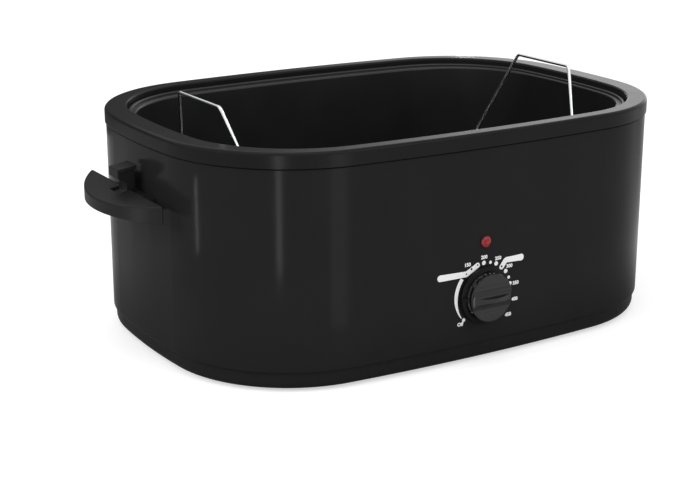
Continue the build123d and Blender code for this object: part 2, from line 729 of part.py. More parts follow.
# ---------------------------------------------------------------- controls
def control_knob():
    """A round knob with a skirt, a pointer and a grip fin between two scooped flanks."""
    skirt_top = knob_skirt_height
    hull = turned([(0, knob_air), (knob_skirt_radius - knob_edge, knob_air),
                   (knob_skirt_radius, knob_air + knob_edge), (knob_skirt_radius, skirt_top - knob_edge),
                   (knob_skirt_radius - knob_edge, skirt_top),
                   (knob_radius + knob_draft, skirt_top + knob_edge), (knob_radius, knob_face - knob_rim),
                   (knob_radius - knob_rim * 0.3, knob_face - knob_rim * 0.3),
                   (knob_radius - knob_rim, knob_face), (knob_radius - knob_rim, knob_crest), (0, knob_crest)])
    hull -= knob_scoop(1)
    hull -= knob_scoop(-1)

    rise = knob_crest - knob_face
    arch_radius = (knob_radius**2 + rise**2) / (2 * rise)
    hull &= Pos(0, 0, knob_crest - arch_radius) * Rot(90, 0, 0) * Cylinder(arch_radius, 3 * knob_radius)

    tip = -knob_skirt_radius + knob_edge / 2
    root = -knob_radius + knob_edge
    pointer = Polyline((tip, skirt_top - knob_edge), (tip, skirt_top + pointer_rise),
                       (root, knob_face - knob_wall), (root, skirt_top - knob_edge), close=True)
    hull += extrude(Plane.XZ * make_face(pointer), pointer_half_width, both=True)

    cavity = drum(knob_radius - knob_wall, 0, knob_face - 2 * knob_wall)
    hull -= cavity - drum(knob_hub_radius, 0, knob_face)
    hull -= drum(knob_hub_radius, 0, hub_air)
    hull -= shaft_section(running_clearance, 0, shaft_reach + seat_gap)
    return front_axis(dial_height) * hull


def knob_scoop(side):
    """What is scooped from one flank: a round hollow along the fin, open beyond its deepest line."""
    height = knob_face + scoop_radius - scoop_depth
    centre = grip_half + sqrt(scoop_radius**2 - (height - knob_crest)**2)
    hollow = Pos(0, side * centre, height) * Rot(0, 90, 0) * Cylinder(scoop_radius, 3 * knob_radius)
    across = sorted((side * centre, side * (centre + 2 * knob_radius)))
    return hollow + block((-2 * knob_radius, 2 * knob_radius), across, (knob_face, 2 * knob_crest))


def shaft_section(clearance, low, high):
    """A round shaft with one flat, grown by a clearance."""
    radius = shaft_radius + clearance
    flat = shaft_radius / 2 + clearance
    return drum(radius, low, high) - block((-radius, radius), (flat, radius), (low, high))


def thermostat_shaft():
    """The shaft: round in the bush, flatted where the knob grips it."""
    shaft = drum(shaft_radius, -bracket_back - shaft_grip, hub_air) + shaft_section(0, hub_air, shaft_reach)
    return front_axis(dial_height) * shaft


def thermostat_bracket():
    """The mounting plate behind the wall, with the bush that carries the shaft."""
    reach = dial_screw_spacing / 2 + bracket_margin
    plate = block((-reach, reach), (-bracket_half_height, bracket_half_height),
                  (-bracket_back, -bracket_back + bracket_sheet))
    plate += drum(bush_radius, -bracket_back, bush_front)
    plate -= drum(shaft_radius + running_clearance, -wall_cut, wall_cut)
    for side in (-1, 1):
        plate -= Pos(side * dial_screw_spacing / 2, 0, 0) * drum(small_screw_radius, -wall_cut, wall_cut)
    return front_axis(dial_height) * plate


def thermostat_screws():
    """Two screws through the wall into the bracket, hidden under the knob's skirt."""
    one = screw(small_screw_radius, small_screw_head_radius, dial_screw_head_height, bracket_back)
    places = [Pos(side * dial_screw_spacing / 2, 0, panel_gap) for side in (-1, 1)]
    return [front_axis(dial_height) * place * one for place in places]


def thermostat_body():
    """The ceramic switch body, with a relief behind each bracket screw."""
    across, up = switch_length / 2, switch_height / 2
    case = block((-across, across), (-up, up), (-switch_back, -bracket_back))
    case = fillet(case.edges().filter_by(Axis.Z), switch_corner)
    case -= drum(shaft_radius + running_clearance, -bracket_back - shaft_grip - seat_gap, 0)
    for side in (-1, 1):
        relief = drum(small_screw_radius + hole_clearance, -bracket_back - screw_radius, 0)
        case -= Pos(side * dial_screw_spacing / 2, 0, 0) * relief
    return front_axis(dial_height) * case


def thermostat_tabs():
    """Two flat terminals under the switch body."""
    middle = (bracket_back + switch_back) / 2
    tab = Box(tab_width, tab_length, tab_sheet)
    tab -= Pos(0, -tab_length / 6, 0) * Cylinder(tab_hole_radius, tab_length)
    low = -(switch_height + tab_length) / 2
    return [front_axis(dial_height) * Pos(side * tab_spacing / 2, low, -middle) * tab for side in (-1, 1)]


def sensing_strip():
    """A spring strip from the switch body that feels the temperature of the well's wall."""
    well = well_inset - panel_gap
    width = (-strip_width / 2, strip_width / 2)
    height = (-strip_half_height, strip_half_height)
    foot = block(width, height, (-switch_back - strip_sheet, -switch_back))
    leg = block(width, (-strip_half_height, -strip_half_height + strip_sheet), (-well, -switch_back))
    pad = block(width, height, (-well, -well + strip_sheet))
    return front_axis(dial_height) * (foot + leg + pad)


def pilot_lens():
    """The lens of the pilot light: a low dome, a flange and a hollow stem."""
    crown = pilot_dome + pilot_rim
    sphere_radius = (pilot_radius**2 + pilot_dome**2) / (2 * pilot_dome)
    head = drum(pilot_radius, panel_gap, crown) & Pos(0, 0, crown - sphere_radius) * Sphere(sphere_radius)
    lens = head + drum(pilot_stem_radius, -pilot_stem_depth, panel_gap)
    return front_axis(pilot_height) * (lens - drum(lamp_radius + panel_gap, -pilot_stem_depth, -wrap_sheet))


def pilot_clip():
    """The push-on ring that holds the lens to the wall."""
    back = wrap_sheet + panel_gap + clip_sheet
    clip = drum(clip_radius, -back, -back + clip_sheet)
    return front_axis(pilot_height) * (clip - drum(pilot_stem_radius + running_clearance, -back, 0))


def pilot_lamp():
    """The neon lamp, with its collar behind the lens stem."""
    back = -pilot_stem_depth - lamp_tail
    lamp = drum(lamp_radius, back, -wrap_sheet - seat_gap)
    lamp = fillet(highest_edges(lamp), lamp_radius / 2)
    lamp += drum(pilot_stem_radius, back, -pilot_stem_depth - seat_gap)
    return front_axis(pilot_height) * lamp


# ---------------------------------------------------------------- cord entry
def cord_gland():
    """The bush where the cord enters: a barb inside the wall, a flange and a tapered body outside."""
    inside = -wrap_sheet - panel_gap
    barb = gland_neck_radius + gland_barb
    tip = gland_radius - gland_taper
    flange = gland_radius + gland_flange
    profile = [(0, inside - gland_barb_length), (gland_neck_radius, inside - gland_barb_length),
               (barb, inside), (gland_neck_radius, inside), (gland_neck_radius, panel_gap),
               (flange, panel_gap), (flange, gland_flange_height), (gland_radius, gland_flange_height),
               (tip, gland_length - gland_edge), (tip - gland_edge, gland_length), (0, gland_length)]
    bore = drum(gland_bore_radius, gland_flange_height, gland_length)
    bore += drum(gland_relief_radius, inside - gland_barb_length, gland_flange_height)
    return rear_axis(gland_height) * (turned(profile) - bore)


def terminal_block():
    """The ceramic block where the supply meets the inner leads, standing on the shield."""
    base = shield_bottom + shield_sheet
    length, depth, height = terminal_block_size
    rear = half_width - wrap_sheet - wrap_curl_radius - terminal_block_gap
    top = base + height
    solid = block((-length / 2, length / 2), (rear - depth, rear), (base, top))
    slot = (-terminal_slot / 2, terminal_slot / 2)
    solid -= block(slot, (rear - depth, rear), (top - terminal_slot_depth, top))
    for side in (-1, 1):
        well = drum(terminal_well_radius, top - terminal_well_depth, top)
        solid -= Pos(side * terminal_well_spacing / 2, rear - depth / 2, 0) * well
    return solid


# ---------------------------------------------------------------- pan and rack
def pan_shape(inset, bottom, top, floor_radius):
    """The tapered inside or outside of the pan, by its inset at the mouth."""
    depth = ledge_height + pan_sheet - pan_floor
    slope = pan_taper / depth
    high = body.inset(inset + slope * (ledge_height + pan_sheet - top)).face(top)
    low = body.inset(inset + slope * (ledge_height + pan_sheet - bottom)).face(bottom)
    return fillet(lowest_edges(loft([low, high], ruled=True)), floor_radius)


def roasting_pan():
    """The lift-out pan: tapered walls, a flange on the ledge and a rolled outer bead."""
    top = ledge_height + pan_sheet
    outside = pan_shape(pan_mouth_inset - pan_sheet, pan_bottom, top, pan_floor_radius + pan_sheet)
    flange = slab(pan_edge, ledge_height, top)
    bead = ring(pan_edge, pan_edge.inset(pan_bead_width), ledge_height, ledge_height + pan_bead_height)
    bead = fillet(highest_edges(bead), pan_bead_width * 0.42)
    inside = pan_shape(pan_mouth_inset, pan_floor, top, pan_floor_radius)
    pan = outside + flange + bead - inside
    return fillet(edges_along(pan, pan_mouth, top), pan_lip_radius)


def wire(points, radius, corner):
    """A round wire along straight runs joined by arcs."""
    path = FilletPolyline(*points, radius=corner)
    start = Plane(origin=path @ 0, z_dir=path % 0)
    return sweep(start * Circle(radius), path=path)


def roasting_rack():
    """A rail that follows the pan, cross wires welded on it and short legs under it."""
    rail_path = Wire(rail_plan.arcs()).moved(Location((0, 0, rail_height)))
    start = Plane(origin=rail_path @ 0, z_dir=rail_path % 0)
    rack = sweep(start * Circle(rack_wire_radius), path=rail_path)
    cross_height = rail_height + rack_wire_radius + cross_wire_radius - weld_sink
    reach = rail_plan.half_length - cross_wire_end
    for i in range(cross_wire_count):
        x = reach * (2 * i / (cross_wire_count - 1) - 1)
        length = 2 * rail_plan.half_width_at(x)
        rack += Pos(x, 0, cross_height) * Rot(90, 0, 0) * Cylinder(cross_wire_radius, length)
    for y in (-stringer_spacing / 2, stringer_spacing / 2):
        length = 2 * rail_plan.half_length_at(y)
        rack += Pos(0, y, rail_height) * Rot(0, 90, 0) * Cylinder(rack_wire_radius, length)
        for x in (-rack_leg_spacing / 2, rack_leg_spacing / 2):
            rack += Pos(x, y, 0) * drum(rack_wire_radius, pan_floor, rail_height)
    return Pos(rack_shift, 0, 0) * rack


def lift_handle(side):
    """A wire loop that leans outward; its legs spread down to the long rails."""
    foot_height = rail_height + rack_wire_radius + lift_wire_radius - lift_weld_sink
    bar_x = side * (rail_plan.half_length - lift_bar_inset)
    foot_x = side * (rail_plan.half_length - lift_foot_inset)
    foot_y = rail_plan.half_width_at(abs(foot_x))
    points = [(foot_x, -foot_y, foot_height), (bar_x, -lift_bar_half, lift_top),
              (bar_x, lift_bar_half, lift_top), (foot_x, foot_y, foot_height)]
    return Pos(rack_shift, 0, 0) * wire(points, lift_wire_radius, lift_corner_radius)


def nodes():
    left_parts = {"handle_left": handle_left(), "backing_plate_left": backing_plate_left(),
                  "handle_screws_left": handle_screws_left()}
    made = {
        "outer_wrap": outer_wrap(), "top_collar": top_collar(), "base_tray": base_tray(), "feet": feet(),
        "base_screws": base_screws(), "inner_well": inner_well(), "heater_band": heater_band(),
        "heater_clamp": heater_clamp(), "heater_terminals": heater_terminals(),
        "insulation_blanket": insulation_blanket(), "heat_shield": heat_shield(),
        "centre_spacer": centre_spacer(), "centre_bolt": centre_bolt(),
        "control_knob": control_knob(), "thermostat_shaft": thermostat_shaft(),
        "thermostat_bracket": thermostat_bracket(), "thermostat_screws": thermostat_screws(),
        "thermostat_body": thermostat_body(), "thermostat_tabs": thermostat_tabs(),
        "sensing_strip": sensing_strip(), "pilot_lens": pilot_lens(), "pilot_clip": pilot_clip(),
        "pilot_lamp": pilot_lamp(), "cord_gland": cord_gland(), "terminal_block": terminal_block(),
        "roasting_pan": roasting_pan(), "roasting_rack": roasting_rack(),
        "lift_handle_left": lift_handle(-1), "lift_handle_right": lift_handle(1),
    }
    for name, shape in left_parts.items():
        made[name] = shape
        pieces = shape if isinstance(shape, list) else [shape]
        mirrored = [mirror(piece, Plane.YZ) for piece in pieces]
        made[name.replace("left", "right")] = mirrored if isinstance(shape, list) else mirrored[0]
    return made


def main():
    os.makedirs("parts", exist_ok=True)
    for name, shape in nodes().items():
        solids = shape if isinstance(shape, list) else [shape]
        whole = Compound([solid for item in solids for solid in item.solids()])
        whole.label = name
        export_step(whole, f"parts/{name}.step")
        print(f"{name}: {len(whole.solids())} solids, {whole.volume / 1000:.1f} cm3")


main()
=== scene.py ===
"""The electric roaster oven dressed for its picture: finishes, dial print, weld beads and studio.

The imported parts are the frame. This script gives each of them its finish, adds the white print
round the control dial and the welds of the rack, and sets up a plain white studio.
Lengths are metres, +Z is up, the dial faces -Y.
"""
import json
import math

import bpy
import numpy as np
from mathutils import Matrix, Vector


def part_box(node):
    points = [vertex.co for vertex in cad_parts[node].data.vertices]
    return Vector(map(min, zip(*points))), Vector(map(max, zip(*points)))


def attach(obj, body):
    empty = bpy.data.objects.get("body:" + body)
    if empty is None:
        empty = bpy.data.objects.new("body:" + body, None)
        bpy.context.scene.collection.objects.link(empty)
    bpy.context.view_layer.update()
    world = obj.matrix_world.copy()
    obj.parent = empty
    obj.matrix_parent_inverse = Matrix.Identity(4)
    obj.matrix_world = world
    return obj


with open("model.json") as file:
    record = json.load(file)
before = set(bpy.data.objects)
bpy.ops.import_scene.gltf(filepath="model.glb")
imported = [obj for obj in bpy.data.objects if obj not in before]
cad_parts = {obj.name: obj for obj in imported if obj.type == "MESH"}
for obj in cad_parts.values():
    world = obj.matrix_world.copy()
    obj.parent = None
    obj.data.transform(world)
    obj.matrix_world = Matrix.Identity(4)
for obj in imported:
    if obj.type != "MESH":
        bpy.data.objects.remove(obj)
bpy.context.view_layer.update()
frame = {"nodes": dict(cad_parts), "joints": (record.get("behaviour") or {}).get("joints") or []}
nodes = frame["nodes"]
MM = 0.001

# ---------------------------------------------------------------- driving dimensions
wall_low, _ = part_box("outer_wrap")
front_wall = -wall_low.y                 # half the width of the body
front_bow_radius = 1770 * MM             # the front wall bows out on this radius
dial_joint = next(j for j in frame["joints"] if j["name"] == "knob_turn")
dial_x, _, dial_z = dial_joint["pos_m"]

print_proud = 0.10 * MM                  # the ink stands on the paint by this much
print_sunk = 0.05 * MM                   # and starts inside it
dot_ring_radius = 29.2 * MM
large_dot_radius = 2.0 * MM
small_dot_radius = 1.5 * MM
dot_corners = 28                         # a dot's outline is a polygon of so many corners
arc_radius = 29.8 * MM
arc_start, arc_end = -127.5, -53.0       # degrees from the top of the dial, clockwise
arc_points = 60
tab_bend = 2.2 * MM                      # a tab's corners are rounded over this length
tab_mark_radius = 29.4 * MM              # the dark marks on the tabs lie on this circle
tab_mark_proud = print_proud + 0.04 * MM
number_height = 4.5 * MM
number_weight = 0.19 * MM                # how much each stroke is thickened

rail_wire_radius = 2.0 * MM
lift_wire_radius = 1.6 * MM
rack_stand = 10.0 * MM                   # clear height under the rack's rail
cross_wire_count = 13
cross_wire_end = 14.0 * MM               # last cross wire to the end of the rail
stringer_y = 60.0 * MM
wire_bead = (2.2 * MM, 2.2 * MM, 1.0 * MM)   # half sizes of a weld on the rack's wires
loop_bead = (3.0 * MM, 2.4 * MM, 1.7 * MM)   # and of one at a lifting loop's foot
knob_cap_radius = 22 * MM
knob_dish = 0.7 * MM                     # how far the cap's face is dished


# ---------------------------------------------------------------- shader arithmetic
class Sock:
    """A shader socket that does sums: each operation adds the Math node that works it out."""

    def __init__(self, sheet, socket):
        self.sheet = sheet
        self.socket = socket

    def math(self, operation, *values):
        return self.sheet.node("ShaderNodeMath", {"operation": operation}, values)

    def __add__(self, other):
        return self.math("ADD", self, other)

    def __sub__(self, other):
        return self.math("SUBTRACT", self, other)

    def __rsub__(self, other):
        return self.math("SUBTRACT", other, self)

    def __mul__(self, other):
        return self.math("MULTIPLY", self, other)

    def __neg__(self):
        return self.math("MULTIPLY", self, -1.0)

    def __truediv__(self, other):
        return self.math("DIVIDE", self, other)

    def __pow__(self, power):
        return self.math("POWER", self, power)

    def step(self, low, high):
        """0 below low, 1 above high and a smooth rise between them."""
        settings = {"interpolation_type": "SMOOTHSTEP"}
        values = {"Value": self, "From Min": low, "From Max": high}
        return self.sheet.node("ShaderNodeMapRange", settings, values)

    def span(self, low, high):
        """A value from 0 to 1 carried to the range from low to high."""
        return self * (high - low) + low


class Sheet:
    """The emptied node sheet of a material or a world."""

    def __init__(self, owner):
        owner.use_nodes = True
        self.tree = owner.node_tree
        self.tree.nodes.clear()

    def node(self, kind, settings, values, output=0):
        """Adds a node: its settings come first, then the value or the link of each socket."""
        made = self.tree.nodes.new(kind)
        for key, value in settings.items():
            setattr(made, key, value)
        pairs = values.items() if isinstance(values, dict) else enumerate(values)
        for key, value in pairs:
            if isinstance(value, Sock):
                self.tree.links.new(value.socket, made.inputs[key])
            else:
                made.inputs[key].default_value = value
        return Sock(self, made.outputs[output])

    def close(self, kind, shader):
        """Ends the sheet: the shader goes to an output node of this kind."""
        out = self.tree.nodes.new(kind)
        self.tree.links.new(shader.socket, out.inputs["Surface"])

    def seen_rays(self):
        """1 for the rays that show the background itself: camera, glossy and transmission rays."""
        rays = [self.node("ShaderNodeLightPath", {}, {}, kind)
                for kind in ("Is Camera Ray", "Is Glossy Ray", "Is Transmission Ray")]
        total = rays[0] + rays[1] + rays[2]
        return total.math("MINIMUM", total, 1.0)


class Look(Sheet):
    """The sheet of one material, whose patterns are laid out in Object coordinates."""

    def __init__(self, name):
        self.material = bpy.data.materials.new(name)
        super().__init__(self.material)
        self.place = self.node("ShaderNodeTexCoord", {}, {}, "Object")

    def noise(self, size, detail=2.0, rough=0.5, place=None):
        """Cloudy noise from 0 to 1 whose features are about size metres across."""
        values = {"Vector": place or self.place, "Scale": 1 / size, "Detail": detail, "Roughness": rough}
        return self.node("ShaderNodeTexNoise", {}, values, "Fac")

    def cells(self, size):
        """The distance to the nearest of scattered points about size metres apart, in sizes."""
        values = {"Vector": self.place, "Scale": 1 / size}
        return self.node("ShaderNodeTexVoronoi", {}, values, "Distance")

    def stretched(self, x, y, z):
        """Object coordinates with each axis multiplied: above 1 it squeezes the pattern along it."""
        return self.node("ShaderNodeMapping", {}, {"Vector": self.place, "Scale": (x, y, z)}, "Vector")

    def axis(self, name):
        """One coordinate of the place, in metres."""
        return self.node("ShaderNodeSeparateXYZ", {}, {"Vector": self.place}, name)

    def radius_about(self, x, z):
        """The distance from the line along Y through x and z, in metres."""
        across = self.axis("X") - x
        up = self.axis("Z") - z
        return (across * across + up * up) ** 0.5

    def mix(self, share, a, b):
        """Colour a where share is 0 and colour b where it is 1."""
        a, b = (c if isinstance(c, Sock) else (*c, 1.0) for c in (a, b))
        return self.node("ShaderNodeMix", {"data_type": "RGBA"}, {0: share, 6: a, 7: b}, 2)

    def broken_edge(self, radius):
        """A normal that turns smoothly over every sharp edge, as if it were rounded by radius."""
        return self.node("ShaderNodeBevel", {"samples": 6}, {"Radius": radius}, "Normal")

    def bump(self, height, depth, normal=None):
        """A normal for a height from 0 to 1 that stands for depth metres."""
        values = {"Height": height, "Distance": depth, "Strength": 1.0}
        if normal:
            values["Normal"] = normal
        return self.node("ShaderNodeBump", {}, values, "Normal")

    def finish(self, **values):
        """Closes the sheet with a Principled shader; a name's underscores stand for spaces."""
        sockets = {key.replace("_", " "): value for key, value in values.items()}
        shader = self.node("ShaderNodeBsdfPrincipled", {}, sockets, "BSDF")
        self.close("ShaderNodeOutputMaterial", shader)
        return self.material


# ---------------------------------------------------------------- finishes
def scaled(colour, factor):
    """A colour made lighter or darker by a factor."""
    return [c * factor for c in colour]


def gloss_paint(name, colour, roughness, shine, peel_depth):
    """Sprayed and baked black: orange peel a millimetre across, a little haze and a few dust nibs."""
    look = Look(name)
    peel = look.noise(1.6 * MM, detail=1.0)
    haze = look.noise(60 * MM, detail=3.0)
    nib = 1 - look.cells(9 * MM).step(0.015, 0.035)
    shade = look.mix(haze, colour, scaled(colour, 1.35))
    normal = look.bump(peel + nib * 0.6, peel_depth, look.broken_edge(0.5 * MM))
    return look.finish(Base_Color=shade, Roughness=haze.span(roughness * 0.85, roughness * 1.25),
                       Specular_IOR_Level=shine, Normal=normal)


def speckled_enamel(name, colour, fleck, roughness, fleck_share):
    """Fused enamel with fine pale flecks under a slightly wavy skin."""
    look = Look(name)
    size = look.noise(2.2 * MM, detail=2.0)
    grain = look.cells(1.5 * MM)
    flecks = (1 - grain.step(0.10, 0.22)) * size.step(1 - fleck_share, 1.02 - fleck_share)
    wave = look.noise(7 * MM, detail=2.0)
    cloud = look.noise(45 * MM, detail=2.0)
    shade = look.mix(flecks * 0.8, look.mix(cloud, colour, scaled(colour, 1.3)), fleck)
    return look.finish(Base_Color=shade, Roughness=cloud.span(roughness * 0.9, roughness * 1.3),
                       Specular_IOR_Level=0.30, Normal=look.bump(wave, 0.05 * MM))


def moulded_plastic(name, colour, roughness, shine, grain_size, grain_depth):
    """Moulded phenolic: a spark-eroded grain, faint flow clouds, dust in the grain, broken edges."""
    look = Look(name)
    grain = look.noise(grain_size, detail=3.0, rough=0.6)
    flow = look.noise(28 * MM, detail=3.0, rough=0.55, place=look.stretched(1.0, 1.0, 2.2))
    dust = look.noise(5 * MM, detail=4.0, rough=0.7).step(0.62, 0.86)
    shade = look.mix(flow, colour, scaled(colour, 1.25))
    shade = look.mix(dust * 0.25, shade, scaled(colour, 2.2))
    rough = flow.span(roughness * 0.92, roughness * 1.08) + grain * 0.05
    return look.finish(Base_Color=shade, Roughness=rough, Specular_IOR_Level=shine,
                       Normal=look.bump(grain, grain_depth, look.broken_edge(0.7 * MM)))


def knob_plastic(name):
    """Black phenolic, polished on its cap and finely matted on its skirt: the clear skin of the
    polish is a coat that fades out beyond the cap's radius. The cap's face is dished by a
    fraction of a millimetre as h = (r/R)^2 - 1. Faint flow lines, dust on the skirt."""
    look = Look(name)
    radius = look.radius_about(dial_x, dial_z)
    skirt = radius.step(knob_cap_radius + 0.3 * MM, knob_cap_radius + 0.7 * MM)
    flow = look.noise(16 * MM, detail=3.0, rough=0.55)
    grain = look.noise(0.5 * MM, detail=3.0, rough=0.6)
    dust = look.noise(2.2 * MM, detail=4.0, rough=0.7).step(0.60, 0.85)
    shade = look.mix(flow, (0.0035, 0.0035, 0.0038), (0.0052, 0.0052, 0.0056))
    shade = look.mix(dust * (skirt * 0.5 + 0.08), shade, (0.020, 0.020, 0.019))
    dish = (radius / knob_cap_radius) ** 2 - 1
    edge = look.broken_edge(0.6 * MM)
    dished = look.bump(dish * (1 - skirt), knob_dish, edge)
    return look.finish(Base_Color=shade, Roughness=skirt.span(0.16, 0.30), Specular_IOR_Level=0.05,
                       Coat_Weight=0.62 - skirt * 0.5, Coat_Roughness=0.07, Coat_IOR=1.5,
                       Normal=look.bump(flow + grain * 0.05, 0.02 * MM, dished))


def plated_wire(name):
    """Bright chrome over drawn wire: fine drawing lines and a trace of clouding."""
    look = Look(name)
    lines = look.noise(0.5 * MM, detail=2.0)
    cloud = look.noise(14 * MM, detail=3.0)
    shade = look.mix(cloud, (0.80, 0.81, 0.82), (0.72, 0.73, 0.75))
    return look.finish(Base_Color=shade, Metallic=1.0, Roughness=cloud.span(0.10, 0.22),
                       Normal=look.bump(lines, 0.01 * MM))


def sheet_metal(name, colour, roughness, spangle, along, tint=None, tint_share=0.0):
    """Rolled sheet: mill lines, squeezed together along one axis, patches of spangle and, if
    asked, a heat tint."""
    look = Look(name)
    mill = look.noise(0.8 * MM, detail=3.0, rough=0.6, place=look.stretched(*along))
    patch = look.cells(spangle)
    stain = look.noise(35 * MM, detail=4.0, rough=0.6)
    shade = look.mix(patch.step(0.2, 0.8), colour, scaled(colour, 0.86))
    if tint:
        shade = look.mix(stain.step(0.35, 0.75) * tint_share, shade, tint)
    rough = mill * 0.16 + stain * 0.10 + roughness
    return look.finish(Base_Color=shade, Metallic=1.0, Roughness=rough,
                       Normal=look.bump(mill, 0.02 * MM))


def turned_steel(name, colour, roughness):
    """Zinc-plated turned parts: a trace of tool marks, pale bloom in places."""
    look = Look(name)
    marks = look.noise(0.35 * MM, detail=1.0)
    bloom = look.noise(3 * MM, detail=4.0, rough=0.65)
    shade = look.mix(bloom.step(0.45, 0.75) * 0.4, colour, (0.55, 0.55, 0.53))
    return look.finish(Base_Color=shade, Metallic=1.0, Roughness=bloom.span(roughness, roughness + 0.22),
                       Normal=look.bump(marks, 0.008 * MM))


def rubber(name, colour):
    """Moulded rubber: matte, with a fine tooth and a pale bloom."""
    look = Look(name)
    tooth = look.noise(0.5 * MM, detail=3.0, rough=0.65)
    bloom = look.noise(9 * MM, detail=4.0, rough=0.6).step(0.5, 0.85)
    shade = look.mix(bloom * 0.5, colour, scaled(colour, 2.0))
    return look.finish(Base_Color=shade, Roughness=tooth.span(0.62, 0.80),
                       Specular_IOR_Level=0.35, Normal=look.bump(tooth, 0.04 * MM))


def ceramic(name, colour, roughness):
    """Pressed steatite: a chalky body with pores."""
    look = Look(name)
    body = look.noise(4 * MM, detail=4.0, rough=0.6)
    pores = 1 - look.cells(1.2 * MM).step(0.05, 0.16)
    shade = look.mix(body, colour, scaled(colour, 0.84))
    shade = look.mix(pores * 0.5, shade, scaled(colour, 0.5))
    return look.finish(Base_Color=shade, Roughness=body.span(roughness, roughness + 0.15),
                       Normal=look.bump(1 - pores, 0.05 * MM))


def glass_wool(name):
    """Needled glass-fibre blanket: matted fibres and a binder tint."""
    look = Look(name)
    fibres = look.noise(1.2 * MM, detail=5.0, rough=0.7, place=look.stretched(1.0, 1.0, 4.0))
    lumps = look.noise(18 * MM, detail=3.0, rough=0.6)
    shade = look.mix(lumps, (0.78, 0.72, 0.52), (0.66, 0.58, 0.38))
    return look.finish(Base_Color=shade, Roughness=fibres.span(0.82, 0.98),
                       Normal=look.bump(fibres * 0.6 + lumps, 0.9 * MM))


def red_lens(name, height):
    """The neon's red lens: darker toward its rim and outlined by its own shade there, with a
    pale moulded ring and a little lamp light in its middle."""
    look = Look(name)
    radius = look.radius_about(dial_x, height)
    ring = radius.step(2.9 * MM, 3.6 * MM) * (1 - radius.step(4.2 * MM, 4.9 * MM))
    core = 1 - radius.step(0.6 * MM, 2.8 * MM)
    flute = look.noise(0.9 * MM, detail=1.0)
    edge = radius.step(4.5 * MM, 5.5 * MM)
    shade = look.mix(ring, (0.22, 0.006, 0.008), (0.27, 0.030, 0.035))
    shade = look.mix(edge, shade, (0.028, 0.002, 0.003))
    glow = look.mix(core, (0.010, 0.0005, 0.0005), (0.16, 0.008, 0.009))
    return look.finish(Base_Color=shade, Roughness=flute.span(0.16, 0.26), Specular_IOR_Level=0.25,
                       Emission_Color=glow, Emission_Strength=1.0, Normal=look.bump(flute, 0.03 * MM))


def lamp_glass(name):
    """The little lamp's glass envelope, smoky in places."""
    look = Look(name)
    smoke = look.noise(3 * MM, detail=3.0)
    shade = look.mix(smoke, (0.86, 0.84, 0.80), (0.70, 0.62, 0.52))
    return look.finish(Base_Color=shade, Roughness=smoke.span(0.05, 0.14), IOR=1.5,
                       Transmission_Weight=0.8)


def screen_ink(name, colour):
    """Screen-printed ink: a flat skin with pinholes and an uneven gloss."""
    look = Look(name)
    body = look.noise(0.8 * MM, detail=3.0)
    holes = 1 - look.cells(1.1 * MM).step(0.03, 0.09)
    shade = look.mix(holes * 0.25, colour, scaled(colour, 0.6))
    return look.finish(Base_Color=shade, Roughness=body.span(0.38, 0.55),
                       Specular_IOR_Level=0.3, Normal=look.bump(body, 0.01 * MM))


pilot_height = sum(v.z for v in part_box("pilot_lens")) / 2
black = (0.0138, 0.0138, 0.0143)
finishes = {
    "body_paint": gloss_paint("body_paint", black, roughness=0.14, shine=0.035, peel_depth=0.008 * MM),
    "collar_paint": gloss_paint("collar_paint", (0.0100, 0.0100, 0.0105), roughness=0.22, shine=0.060,
                                peel_depth=0.010 * MM),
    "base_paint": gloss_paint("base_paint", black, roughness=0.26, shine=0.045, peel_depth=0.016 * MM),
    "foot_rubber": rubber("foot_rubber", (0.020, 0.020, 0.021)),
    "screw_steel": turned_steel("screw_steel", (0.62, 0.62, 0.60), roughness=0.24),
    "well_enamel": speckled_enamel("well_enamel", (0.010, 0.010, 0.011), (0.10, 0.10, 0.11),
                                   roughness=0.24, fleck_share=0.42),
    "heater_steel": sheet_metal("heater_steel", (0.50, 0.47, 0.44), roughness=0.30, spangle=12 * MM,
                                along=(1, 1, 8), tint=(0.20, 0.11, 0.16), tint_share=0.7),
    "ceramic_white": ceramic("ceramic_white", (0.78, 0.76, 0.70), roughness=0.45),
    "glass_fibre": glass_wool("glass_fibre"),
    "shield_aluminium": sheet_metal("shield_aluminium", (0.80, 0.80, 0.81), roughness=0.20,
                                    spangle=16 * MM, along=(1, 12, 1)),
    "bracket_steel": sheet_metal("bracket_steel", (0.60, 0.60, 0.59), roughness=0.28, spangle=6 * MM,
                                 along=(10, 1, 1)),
    "ceramic_brown": ceramic("ceramic_brown", (0.10, 0.045, 0.025), roughness=0.35),
    "contact_brass": sheet_metal("contact_brass", (0.72, 0.52, 0.22), roughness=0.22, spangle=7 * MM,
                                 along=(8, 1, 1), tint=(0.30, 0.16, 0.08), tint_share=0.5),
    "lens_red": red_lens("lens_red", pilot_height),
    "lamp_glass": lamp_glass("lamp_glass"),
    "gland_rubber": rubber("gland_rubber", (0.016, 0.016, 0.017)),
    "handle_plastic": moulded_plastic("handle_plastic", (0.0105, 0.0105, 0.011), roughness=0.40,
                                      shine=0.12, grain_size=0.7 * MM, grain_depth=0.04 * MM),
    "knob_plastic": knob_plastic("knob_plastic"),
    "shaft_steel": turned_steel("shaft_steel", (0.66, 0.65, 0.62), roughness=0.18),
    "pan_coating": speckled_enamel("pan_coating", (0.0075, 0.0075, 0.008), (0.045, 0.045, 0.048),
                                   roughness=0.30, fleck_share=0.34),
    "rack_chrome": plated_wire("rack_chrome"),
    "print_white": screen_ink("print_white", (0.97, 0.97, 0.965)),
    "print_black": screen_ink("print_black", (0.010, 0.010, 0.010)),
}


def dress_nodes():
    """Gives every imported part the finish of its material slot."""
    for node in nodes.values():
        for slot in node.material_slots:
            slot.material = finishes[slot.material.name.split(".")[0]]


